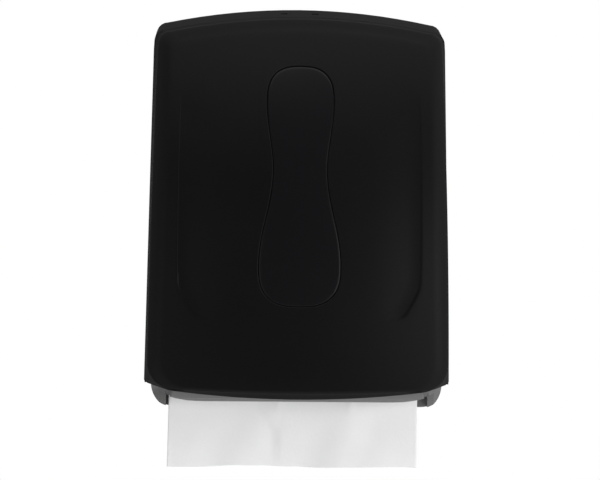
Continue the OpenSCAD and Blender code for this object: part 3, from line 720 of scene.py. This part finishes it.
class DISPENSER_OT_front_cover(bpy.types.Operator):
    """Model the bowed front cover with its window opening, studs, bosses and knuckles."""

    bl_idname = "dispenser.front_cover"
    bl_label = "Front cover"

    # Corners of the right half of the step line, as (x, z)
    PANEL = ((0.0, -0.1035), (0.060, -0.1029), (0.0888, -0.1013), (0.0942, -0.0987), (0.1067, -0.0765),
             (0.1085, -0.0675), (0.1079, 0.0967), (0.1050, 0.1120), (0.0900, 0.1280), (0.050, 0.137),
             (0.0, 0.140))
    STEP_TOP, STEP_SIDE, GROOVE = 0.070, 0.070, 0.0008
    STUD_LENGTH, STUD_SINK = 0.0092, 0.001
    EAR, EAR_WIDTH, EAR_INSET, EAR_REACH, PIN_HOLE = 0.008, 0.003, 0.0008, 0.006, 0.00305

    def panel_half(self):
        """Right half of the faint step line that frames the middle of the front, with its corners cut round."""
        points = list(self.PANEL)
        for _ in range(3):
            cut = [points[0]]
            for a, b in zip(points, points[1:]):
                cut += [part_way(a, b, 0.25), part_way(a, b, 0.75)]
            points = cut + [points[-1]]
        return points

    def step_share(self, x, z):
        """How much of the step shows at a place on the line: all of it at the sides, none along the top."""
        upper = 1 - soft((z - self.STEP_TOP) / 0.035)
        lower = soft((abs(x) - self.STEP_SIDE) / 0.024)
        return upper * lower

    def outer_rings(self, form):
        """Rings of the outer face, from the window opening out to the rear rim."""
        edge = [(p[0], p[1]) for p in form.turn_half(0.0, 90)]
        shares = length_shares(edge)
        window = even_places(form.window_half(0.0), shares)
        window_out = even_places(form.window_half(self.GROOVE), shares)
        panel = even_places(self.panel_half(), shares)
        rings = []

        def face_ring(a, b, t, drop=0.0, sink=0.0):
            ring = []
            for x, z in both_halves(lines_between(a, b, t)):
                lowered = drop * self.step_share(x, z) * form.cover.panel_step
                ring.append(Vector((x, -(form.face(x, z) - lowered - sink), z)))
            rings.append(ring)

        face_ring(window, window_out, 0.0, sink=0.0014)
        face_ring(window, window_out, 0.3, sink=0.0004)
        face_ring(window_out, panel, 0.0)
        face_ring(window_out, panel, 0.012)
        for i in range(1, 7):
            t = i / 7
            face_ring(window_out, panel, t * 0.97, drop=soft((t - 0.35) / 0.65))
        face_ring(window_out, panel, 0.985, drop=1.0)
        for t, drop in ((0.0, 0.7), (0.03, 0.12), (0.06, 0.0), (0.2, 0.0), (0.4, 0.0), (0.6, 0.0), (0.8, 0.0)):
            face_ring(panel, edge, t, drop=drop)
        rings += [form.turn_ring(0.0, degrees) for degrees in range(90, -1, -9)]
        wall, rim = form.turn_ring(0.0, 0), form.rim_ring(0.0)
        return rings + [rings_between(wall, rim, t) for t in (0.25, 0.5, 0.75, 0.985)]

    def inner_rings(self, form):
        """Rings of the inner face, from the rear rim back to the window opening."""
        o = form.cover.wall
        rim, wall = form.rim_ring(o - EDGE), form.turn_ring(o, 0)
        rings = [form.rim_ring(EDGE), rim, rings_between(form.rim_ring(o), wall, 0.02)]
        rings += [rings_between(rim, wall, t) for t in (0.33, 0.66)]
        rings += [form.turn_ring(o, degrees) for degrees in range(0, 91, 15)]
        edge = [(p[0], p[1]) for p in form.turn_half(o, 90)]
        window = even_places(form.window_half(0.0), length_shares(edge))
        for t in (0.2, 0.4, 0.6, 0.8, 1.0):
            half = lines_between(edge, window, t)
            rings.append([Vector((x, -(form.face(x, z) - o), z)) for x, z in both_halves(half)])
        return rings

    def knuckle(self, bm, form, side):
        """Hinge ear in line with a side wall, with its pin hole."""
        hinge = box_middle("hinge_pin_right")
        x1 = form.half_width(hinge.z, self.EAR_INSET)
        x0, front, rise = x1 - self.EAR_WIDTH, -(form.seam_d + self.EAR_REACH), hinge.z - form.rim_z

        def outline(x, shrink):
            places = []
            for i in range(64):
                a = 2 * math.pi * i / 64
                y, z = math.cos(a), math.sin(a)
                r = self.EAR
                if y < 0:
                    upright = self.EAR if z >= 0 else rise
                    r = min((hinge.y - front) / max(TINY, -y), upright / max(TINY, abs(z)))
                    if z < 0 and y > -0.6:
                        r = max(r, self.EAR)
                places.append(Vector((side * x, hinge.y + (r - shrink) * y, hinge.z + (r - shrink) * z)))
            return places

        def bore(x, grow):
            centre = Vector((side * x, hinge.y, hinge.z))
            return polar(64, centre, Vector((0.0, 1.0, 0.0)), Vector((0.0, 0.0, 1.0)), self.PIN_HOLE + grow)

        loft_rings(bm, [outline(x0, EDGE), outline(x0 + EDGE, 0.0), outline(x1 - EDGE, 0.0), outline(x1, EDGE),
                        bore(x1, EDGE), bore(x1 - EDGE, 0.0), bore(x0 + EDGE, 0.0), bore(x0, EDGE)], close=True)

    def execute(self, context):
        form = DispenserForm(settings())
        bm = bmesh.new()
        loft_rings(bm, self.outer_rings(form) + self.inner_rings(form), close=True)
        long = self.STUD_LENGTH
        stud = ((0.0, 0.0024), (0.0016, 0.0021), (0.0021, 0.0016), (long - 0.0006, 0.0016), (long, 0.0011))
        for x, z in form.studs():
            front = form.face(x, z) - self.STUD_SINK
            turned(bm, Vector((x, -front, z)), -FORWARD, stud, 24)
        low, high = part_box("catch_screws")
        rear, z = -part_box("cover_catch")[0][1], (low[2] + high[2]) / 2
        for x in (low[0] + HEAD_RADIUS, high[0] - HEAD_RADIUS):
            boss = form.face(x, z) - form.cover.wall * 0.64 - rear
            profile = ((0.0, 0.0021), (0.0, 0.0036), (0.0004, 0.0040), (boss, 0.0046), (boss, 0.0016),
                       (0.0005, 0.0016))
            turned(bm, Vector((x, -rear, z)), FORWARD, profile, 32, hollow=True)
        for side in (-1, 1):
            self.knuckle(bm, form, side)
        make_piece("front_cover_shell", bm, cover_plastic(), "cover", ["front_cover"])
        return {"FINISHED"}


class DISPENSER_OT_level_window(bpy.types.Operator):
    """Model the smoked level window with its flange."""

    bl_idname = "dispenser.level_window"
    bl_label = "Level window"

    FLANGE_GAP = 0.0008

    def execute(self, context):
        form = DispenserForm(settings())
        flange, gap = form.window.flange, -form.window.gap
        flange0 = form.cover.wall + self.FLANGE_GAP
        flange1 = flange0 + form.window.flange_thickness
        shares = length_shares(form.window_half(0.0))
        rings = []

        def ring(grow, sink, share=1.0):
            places = []
            for x, z in both_halves(even_places(form.window_half(grow), shares)):
                x, z = x * share, mix(form.window_mid, z, share)
                places.append(Vector((x, -(form.face(x, z) - sink), z)))
            rings.append(places)

        for share in (0.04, 0.15, 0.3, 0.45, 0.6, 0.75, 0.88):
            ring(gap, 0.0, share)
        for inward, sink in ((0.0024, 0.0), (0.0012, 0.0), (0.0007, 0.0001), (0.0003, 0.0004), (0.0, 0.0014)):
            ring(gap - inward, sink)
        for grow, sink in ((gap, flange0), (flange - EDGE, flange0), (flange, flange0 + EDGE),
                           (flange, flange1 - EDGE), (flange - EDGE, flange1)):
            ring(grow, sink)
        for share in (0.95, 0.75, 0.5, 0.25, 0.04):
            ring(gap, flange1, share)
        bm = bmesh.new()
        loft_rings(bm, rings, cap=True)
        plastic = smoked_window_plastic()
        make_piece("level_window_lens", bm, plastic, "cover", ["level_window"])
        return {"FINISHED"}


class DISPENSER_OT_back_housing(bpy.types.Operator):
    """Model the rear housing with softened edges."""

    bl_idname = "dispenser.back_housing"
    bl_label = "Back housing"

    def execute(self, context):
        cad_piece("back_housing", "_shell", housing_plastic(), "housing", 0.0006)
        return {"FINISHED"}


class DISPENSER_OT_dispensing_tray(bpy.types.Operator):
    """Model the slotted grey tray with softened edges."""

    bl_idname = "dispenser.dispensing_tray"
    bl_label = "Dispensing tray"

    def execute(self, context):
        cad_piece("dispensing_tray", "_moulding", tray_plastic(), "housing", 0.0007)
        return {"FINISHED"}


class DISPENSER_OT_towel_guides(bpy.types.Operator):
    """Model the two angle rails beside the stack."""

    bl_idname = "dispenser.towel_guides"
    bl_label = "Towel guides"

    def execute(self, context):
        for side in ("left", "right"):
            cad_piece(side + "_towel_guide", "_rail", inner_plastic(), "housing", 0.0004)
        return {"FINISHED"}


class DISPENSER_OT_lock(bpy.types.Operator):
    """Model the lock plate, the latch bar, its springs and the catch on the cover."""

    bl_idname = "dispenser.lock"
    bl_label = "Lock"

    WIRE, TURNS, AROUND, CLOSED_UP = 0.00045, 5, 26, 0.075

    def spring(self, node):
        """Coil of round wire between the shelf and the latch bar, with its end turns closed up."""
        low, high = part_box(node)
        up = Vector((0.0, 0.0, 1.0))
        centre = Vector(((low[0] + high[0]) / 2, (low[1] + high[1]) / 2, 0.0))
        radius = (high[0] - low[0]) / 2 - self.WIRE
        count, rings = self.TURNS * self.AROUND, []
        for i in range(count + 1):
            t = i / count
            rise = mix(low[2] + self.WIRE, high[2] - self.WIRE, t - self.CLOSED_UP * math.sin(2 * math.pi * t))
            a = 2 * math.pi * self.TURNS * t
            out = Vector((math.cos(a), math.sin(a), 0.0))
            rings.append(polar(10, centre + out * radius + up * rise, out, up, self.WIRE))
        bm = bmesh.new()
        loft_rings(bm, rings, cap=True)
        piece = make_piece(node + "_coil", bm, spring_steel(), "housing", [node])
        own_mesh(piece)

    def execute(self, context):
        cad_piece("lock_plate", "_shelf", plate_steel(), "housing", 0.00035)
        cad_piece("latch_bar", "_moulding", inner_plastic(), "latch", EDGE)
        cad_piece("cover_catch", "_hook", plate_steel(), "cover", 0.00035)
        for node in ("latch_spring_left", "latch_spring_right"):
            self.spring(node)
        return {"FINISHED"}


class DISPENSER_OT_fasteners(bpy.types.Operator):
    """Model the screws, hinge pins and retaining clips."""

    bl_idname = "dispenser.fasteners"
    bl_label = "Fasteners"

    HEAD_HEIGHT = 0.002
    HEAD = ((0.0, 0.0029), (0.0002, HEAD_RADIUS), (0.0010, 0.0031), (0.0015, 0.0027), (0.0018, 0.0022),
            (0.00195, 0.0018))
    PITCH, PITCH_STEPS, ROOT, CREST, TIP = 0.0011, 12, 0.00118, 0.0015, 0.0004
    CLIP, LATCH_CLIP_RADIUS, CHAMFER = 0.0008, 0.0047, 0.0001

    def screw(self, bm, seat, out, bite):
        """Pan head screw with a cross recess and a threaded shank, whose head sits on seat and faces out."""
        out, u, v = across(out)

        def cross(size, width):
            return lambda a: min(size, width / max(TINY, min(abs(math.cos(a)), abs(math.sin(a)))))

        profile = (*self.HEAD, (self.HEAD_HEIGHT, cross(0.0014, 0.00036)), (0.0010, cross(0.0009, 0.00026)))
        loft_rings(bm, [polar(48, seat + out * along, u, v, r) for along, r in profile], cap=True)
        rings = []
        for i in range(int((bite - 0.0006) / self.PITCH) * self.PITCH_STEPS + 1):
            along = 0.0002 + self.PITCH * i / self.PITCH_STEPS
            wave = 0.5 + 0.5 * math.cos(2 * math.pi * i / self.PITCH_STEPS)
            rings.append(polar(24, seat - out * along, u, v, mix(self.ROOT, self.CREST, wave ** 2)))
        rings.append(polar(24, seat - out * (bite - 0.0001), u, v, self.TIP))
        loft_rings(bm, rings, cap=True)

    def ring_clip(self, bm, centre, axis, inner, outer):
        """Sprung retaining clip: an open ring with three lugs that seat in the groove."""
        axis, u, v = across(axis)
        made = bmesh.ops.create_grid(bm, x_segments=60, y_segments=3, size=0.5)["verts"]
        for vert in made:
            a = mix(math.radians(-58), math.radians(238), vert.co.x + 0.5)
            lug = max(0.0, math.cos(3 * (a - math.pi / 2))) ** 2
            hollow = mix(inner + (outer - inner) * 0.42, inner, lug)
            ends = soft((abs(vert.co.x) - 0.40) / 0.1)
            rim = mix(outer, mix(hollow, outer, 0.72), ends * 0.5)
            r = mix(hollow, rim, vert.co.y + 0.5)
            vert.co = centre + r * (math.cos(a) * u + math.sin(a) * v) - axis * self.CLIP / 2
        faces = list({f for vert in made for f in vert.link_faces})
        grown = bmesh.ops.extrude_face_region(bm, geom=faces, use_keep_orig=True)["geom"]
        fresh = [g for g in grown if isinstance(g, bmesh.types.BMVert)]
        bmesh.ops.translate(bm, verts=fresh, vec=axis * self.CLIP)

    def push_nut(self, bm, centre, axis, inner, outer):
        """Round push nut with teeth that bite a stud."""
        axis, u, v = across(axis)
        low, high = centre - axis * self.CLIP / 2, centre + axis * self.CLIP / 2
        chamfer, dish, half_way = axis * self.CHAMFER, axis * 0.00025, mix(inner, outer, 0.5)

        def teeth(a):
            return inner + (0.00055 if math.cos(6 * a) < -0.55 else 0.0)

        profile = ((low, outer - self.CHAMFER), (low + chamfer, outer), (high - chamfer, outer),
                   (high, outer - self.CHAMFER), (high, half_way), (high - dish, teeth), (low, teeth),
                   (low, half_way))
        loft_rings(bm, [polar(72, place, u, v, r) for place, r in profile], close=True)

    def seats(self, node, out):
        """Where the head of each screw in a CAD node meets what it holds, with the length of its shank."""
        bm = cad_mesh(node)
        places, done = [], set()
        for start in bm.verts:
            if start in done:
                continue
            solid, queue = {start}, [start]
            while queue:
                near = {vert for edge in queue.pop().link_edges for vert in edge.verts} - solid
                solid |= near
                queue += near
            done |= solid
            along = [v.co.dot(out) for v in solid]
            middle = Vector([(min(v.co[k] for v in solid) + max(v.co[k] for v in solid)) / 2 for k in range(3)])
            seat = middle - out * middle.dot(out) + out * (max(along) - self.HEAD_HEIGHT)
            places.append((seat, max(along) - min(along) - self.HEAD_HEIGHT))
        bm.free()
        return places

    def execute(self, context):
        rows = (("lock_plate_screws", "housing", FORWARD), ("guide_screws", "housing", FORWARD),
                ("tray_screws", "housing", FORWARD), ("catch_screws", "cover", -FORWARD))
        for node, body, out in rows:
            bm = bmesh.new()
            for seat, bite in self.seats(node, out):
                self.screw(bm, seat, out, bite)
            make_piece(node + "_pan_head", bm, fastener_steel(), body, [node])
        for side in ("left", "right"):
            cad_piece("hinge_pin_" + side, "_turned", fastener_steel(), "housing", EDGE)
            node = "hinge_clip_" + side
            bm = bmesh.new()
            self.ring_clip(bm, box_middle(node), Vector((1.0, 0.0, 0.0)), 0.00245, 0.0056)
            make_piece(node + "_ring", bm, spring_steel(), "housing", [node])
        low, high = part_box("latch_clips")
        bm = bmesh.new()
        for x in (low[0] + self.LATCH_CLIP_RADIUS, high[0] - self.LATCH_CLIP_RADIUS):
            centre = Vector((x, (low[1] + high[1]) / 2, (low[2] + high[2]) / 2))
            self.ring_clip(bm, centre, Vector((0.0, 0.0, 1.0)), 0.00195, self.LATCH_CLIP_RADIUS)
        make_piece("latch_clip_rings", bm, fastener_steel(), "latch", ["latch_clips"])
        bm = bmesh.new()
        for seat, _ in self.seats("window_clips", -FORWARD):
            self.push_nut(bm, seat - FORWARD * 0.0016, FORWARD, 0.00165, 0.0036)
        make_piece("window_push_nuts", bm, spring_steel(), "cover", ["window_clips"])
        return {"FINISHED"}


class DISPENSER_OT_towel_stack(bpy.types.Operator):
    """Model the stack of interfolded towels, each a folded packet of paper."""

    bl_idname = "dispenser.towel_stack"
    bl_label = "Towel stack"

    LAYERS, SIDE_ROOM, BEND = 62, 0.0012, 8

    def execute(self, context):
        low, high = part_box("towel_stack")
        thick = (high[2] - low[2]) / self.LAYERS
        half, fold = (high[0] - low[0]) / 2 - self.SIDE_ROOM, thick * 0.46
        bm = bmesh.new()
        for i in range(self.LAYERS):
            z = low[2] + thick * (i + 0.5)
            drift = 0.0009 * math.sin(2.4 * i + 0.7 * math.sin(1.3 * i))
            front = low[1] + 0.0010 + 0.0009 * math.cos(1.9 * i)
            back = high[1] - 0.0008 - 0.0007 * math.cos(2.7 * i + 1.0)
            profile = []
            for middle, start in ((front + fold, -90), (back - fold, 90)):
                for k in range(self.BEND + 1):
                    a = math.radians(start - 180 * k / self.BEND)
                    profile.append((middle + fold * math.cos(a), z + fold * math.sin(a)))
            rings = [[Vector((x + drift, mix((front + back) / 2, y, s), mix(z, h, s))) for y, h in profile]
                     for x, s in ((-half, 0.96), (-half + EDGE, 1.0), (half - EDGE, 1.0), (half, 0.96))]
            loft_rings(bm, rings, cap=True)
        paper = paper_towel("Layered towel paper", True)
        make_piece("towel_stack_folds", bm, paper, "housing", ["towel_stack"])
        return {"FINISHED"}


class DISPENSER_OT_hanging_towel(bpy.types.Operator):
    """Model the towel that hangs out of the slot, ready to be pulled."""

    bl_idname = "dispenser.hanging_towel"
    bl_label = "Hanging towel"

    # Lift of the lower edge at shares of the width
    HEM = ((0.0, 0.0016), (0.13, 0.0017), (0.27, 0.0033), (0.37, 0.0031), (0.5, 0.0021), (0.61, 0.0013),
           (0.74, 0.0018), (0.94, 0.0026), (1.0, 0.0022))
    LEAN, CREASE, MIDDLE = 0.0016, 0.00035, -0.045

    def hem_lift(self, u):
        """Height of the uneven lower edge above its lowest level, at a share u of the width."""
        for (u0, lift0), (u1, lift1) in zip(self.HEM, self.HEM[1:]):
            if u <= u1:
                return mix(lift0, lift1, soft((u - u0) / (u1 - u0)))
        return self.HEM[-1][1]

    def bulge(self, u, v):
        """Forward swell of the sheet below the slot: two ridges, and a soft cross fold that turns inward."""
        turn = soft((u - 0.35) / 0.08)
        crest = mix(0.487, 0.69, turn) if u < 0.45 else 0.50
        height = -0.0016 * (1 - soft((u - 0.41) / 0.05)) - 0.0012 * soft((u - 0.72) / 0.12)
        above, below = soft((v - crest + 0.20) / 0.20), 1 - soft((v - crest) / 0.40)
        ridges = math.exp(-((u - 0.44) / 0.018) ** 2) + math.exp(-((u - 0.73) / 0.016) ** 2)
        return height * min(above, below) + 0.0009 * ridges * (1 - soft((v - 0.36) / 0.16))

    def execute(self, context):
        towels = settings().towels
        low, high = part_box("hanging_towel")
        width = high[0] - low[0]
        bm = bmesh.new()
        for vert in bmesh.ops.create_grid(bm, x_segments=180, y_segments=84, size=0.5)["verts"]:
            u, v = vert.co.x + 0.5, 0.5 - vert.co.y
            wave = 0.6 * math.sin(2 * math.pi * 1.3 * u + math.radians(40))
            wave += 0.4 * math.sin(2 * math.pi * 2.9 * u + math.radians(110) * v)
            lean = -self.LEAN * v * max(0.0, 1 - 3 * u)
            crease = self.CREASE * math.sin(2 * math.pi * (5.3 * u + 0.8 * v)) * soft((v - 0.3) / 0.7)
            depth = towels.fold_depth * v * wave + crease + self.bulge(u, v)
            z = mix(high[2], low[2], v) + self.hem_lift(u) * v
            vert.co = Vector((low[0] + width * u + lean, self.MIDDLE - depth, z))
        piece = make_piece("hanging_towel_sheet", bm, paper_towel("Towel paper", False), "towel",
                           ["hanging_towel"], sharp=60.0)
        paper = piece.modifiers.new("paper", "SOLIDIFY")
        paper.thickness = towels.sheet
        paper.offset = 0.0
        return {"FINISHED"}


class DISPENSER_OT_stage(bpy.types.Operator):
    """Set up the pale floor, the soft lights, the white surround and the camera."""

    bl_idname = "dispenser.stage"
    bl_label = "Stage"

    # Name, place, target, size and power of each lamp
    LAMPS = (
        ("top_softbox", (0.15, -0.56, 1.40), (0.0, -0.05, 0.0), (2.0, 1.55), 21.0),
        ("right_softbox", (1.40, -1.70, -0.25), (0.0, -0.05, -0.06), (1.7, 1.6), 27.5),
        ("left_softbox", (-1.40, -1.70, -0.25), (0.0, -0.05, -0.06), (2.2, 1.6), 10.0),
        ("side_strip", (1.50, -0.40, -0.15), (0.10, -0.05, -0.10), (0.8, 1.2), 6.5),
    )
    CAMERA_PLACE, CAMERA_TARGET, CAMERA_ROLL = (-0.037, -1.9, -0.032), (0.0015, -0.06, -0.032), 0.0093
    LENS, SENSOR = 120.0, 36.0
    ROOM_LEVELS, WHITE_FROM = (0.22, 0.40), 0.55
    FLOOR_SIZE, FLOOR_PLACE = (2.4, 0.85, 1.0), (0.0, -0.12, -0.50)

    def aim(self, thing, place, target, roll=0.0):
        """Puts a lamp or the camera at a place, facing a target, and links it to the scene."""
        thing.location = place
        facing = (Vector(target) - Vector(place)).to_track_quat("-Z", "Y")
        thing.rotation_euler = (facing @ Quaternion((0.0, 0.0, 1.0), roll)).to_euler()
        bpy.context.scene.collection.objects.link(thing)

    def camera(self):
        """Camera of the photo, rolled as the photo is."""
        camera = bpy.data.objects.new("photo_camera", bpy.data.cameras.new("photo_camera"))
        camera.data.sensor_width = self.SENSOR
        camera.data.lens = self.LENS
        self.aim(camera, self.CAMERA_PLACE, self.CAMERA_TARGET, self.CAMERA_ROLL)
        return camera

    def lamp(self, name, place, target, size, power):
        """Soft rectangular lamp that faces a target."""
        data = bpy.data.lights.new(name, "AREA")
        data.shape = "RECTANGLE"
        data.size, data.size_y = size
        data.energy = power
        self.aim(bpy.data.objects.new(name, data), place, target)

    def seen(self, tree, mirrored):
        """Mask of the rays that show a thing to the camera, with a share of those that were mirrored."""
        path = put(tree, "ShaderNodeLightPath").outputs
        glossy = compute(tree, "MULTIPLY", mirrored, path["Is Glossy Ray"])
        direct = compute(tree, "MAXIMUM", path["Is Camera Ray"], path["Is Transmission Ray"])
        return compute(tree, "MAXIMUM", glossy, direct)

    def surround(self):
        """World that is seen as white, is mirrored as white from behind, and lights the part as a dim room."""
        world = bpy.data.worlds.new("white_surround")
        world.use_nodes = True
        tree = world.node_tree
        tree.nodes.clear()
        behind = remap(tree, part_of(tree, place_of(tree, "Generated"), "Y"), (self.WHITE_FROM, 1.0),
                       curve="SMOOTHSTEP")
        diffuse = put(tree, "ShaderNodeLightPath").outputs["Is Diffuse Ray"]
        room = put(tree, "ShaderNodeBackground", Color=remap(tree, diffuse, target=self.ROOM_LEVELS))
        white = put(tree, "ShaderNodeBackground", Color=(1.0, 1.0, 1.0, 1.0))
        choose = put(tree, "ShaderNodeMixShader")
        for source, socket in zip((self.seen(tree, behind), room.outputs[0], white.outputs[0]), choose.inputs):
            feed(tree, source, socket)
        put(tree, "ShaderNodeOutputWorld", Surface=choose.outputs[0])
        return world

    def floor(self):
        """Pale floor that keeps its tone where it is seen and is clear from below."""
        bm = bmesh.new()
        bmesh.ops.create_grid(bm, x_segments=1, y_segments=1, size=0.5)
        bmesh.ops.scale(bm, vec=self.FLOOR_SIZE, verts=bm.verts)
        bmesh.ops.translate(bm, vec=self.FLOOR_PLACE, verts=bm.verts)
        material, tree, shader = new_material("Pale floor")
        below = put(tree, "ShaderNodeNewGeometry").outputs["Backfacing"]
        wire(tree, shader, Base_Color=(0.86, 0.86, 0.86, 1.0), Roughness=0.8, Emission_Strength=0.36,
             Emission_Color=self.seen(tree, 1.0), Alpha=compute(tree, "SUBTRACT", 1.0, below))
        floor = new_object("pale_floor", bm, material)

    def execute(self, context):
        scene = context.scene
        scene.view_settings.view_transform = "Standard"
        scene.camera = self.camera()
        for row in self.LAMPS:
            self.lamp(*row)
        scene.world = self.surround()
        self.floor()
        return {"FINISHED"}


class DISPENSER_PT_sidebar(bpy.types.Panel):
    """Lists the dispenser's steps and settings."""

    bl_idname = "DISPENSER_PT_sidebar"
    bl_label = "Folded towel dispenser"
    bl_space_type = "VIEW_3D"
    bl_region_type = "UI"
    bl_category = "Dispenser"

    def draw(self, context):
        for step in STEPS:
            self.layout.operator(step.bl_idname)
        for group in ("body", "cover", "window", "towels", "finish"):
            box = self.layout.box()
            values = getattr(settings(), group)
            for name in values.__annotations__:
                box.prop(values, name)


STEPS = (
    DISPENSER_OT_back_housing,
    DISPENSER_OT_front_cover,
    DISPENSER_OT_level_window,
    DISPENSER_OT_dispensing_tray,
    DISPENSER_OT_towel_guides,
    DISPENSER_OT_lock,
    DISPENSER_OT_fasteners,
    DISPENSER_OT_towel_stack,
    DISPENSER_OT_hanging_towel,
    DISPENSER_OT_stage,
)
GROUPS = (BodySizes, CoverSizes, WindowSizes, TowelSizes, FinishColours, DispenserSettings)


def register():
    for item in GROUPS + STEPS + (DISPENSER_PT_sidebar,):
        bpy.utils.register_class(item)
    bpy.types.Scene.towel_dispenser = bpy.props.PointerProperty(
        type=DispenserSettings, name="Towel dispenser", description="Sizes and colours of the dispenser"
    )


def unregister():
    del bpy.types.Scene.towel_dispenser
    for item in reversed(GROUPS + STEPS + (DISPENSER_PT_sidebar,)):
        bpy.utils.unregister_class(item)


def main():
    """Makes every piece in order."""
    register()
    bpy.ops.dispenser.back_housing()
    bpy.ops.dispenser.front_cover()
    bpy.ops.dispenser.level_window()
    bpy.ops.dispenser.dispensing_tray()
    bpy.ops.dispenser.towel_guides()
    bpy.ops.dispenser.lock()
    bpy.ops.dispenser.fasteners()
    bpy.ops.dispenser.towel_stack()
    bpy.ops.dispenser.hanging_towel()
    bpy.ops.dispenser.stage()


if __name__ == "__main__":
    main()
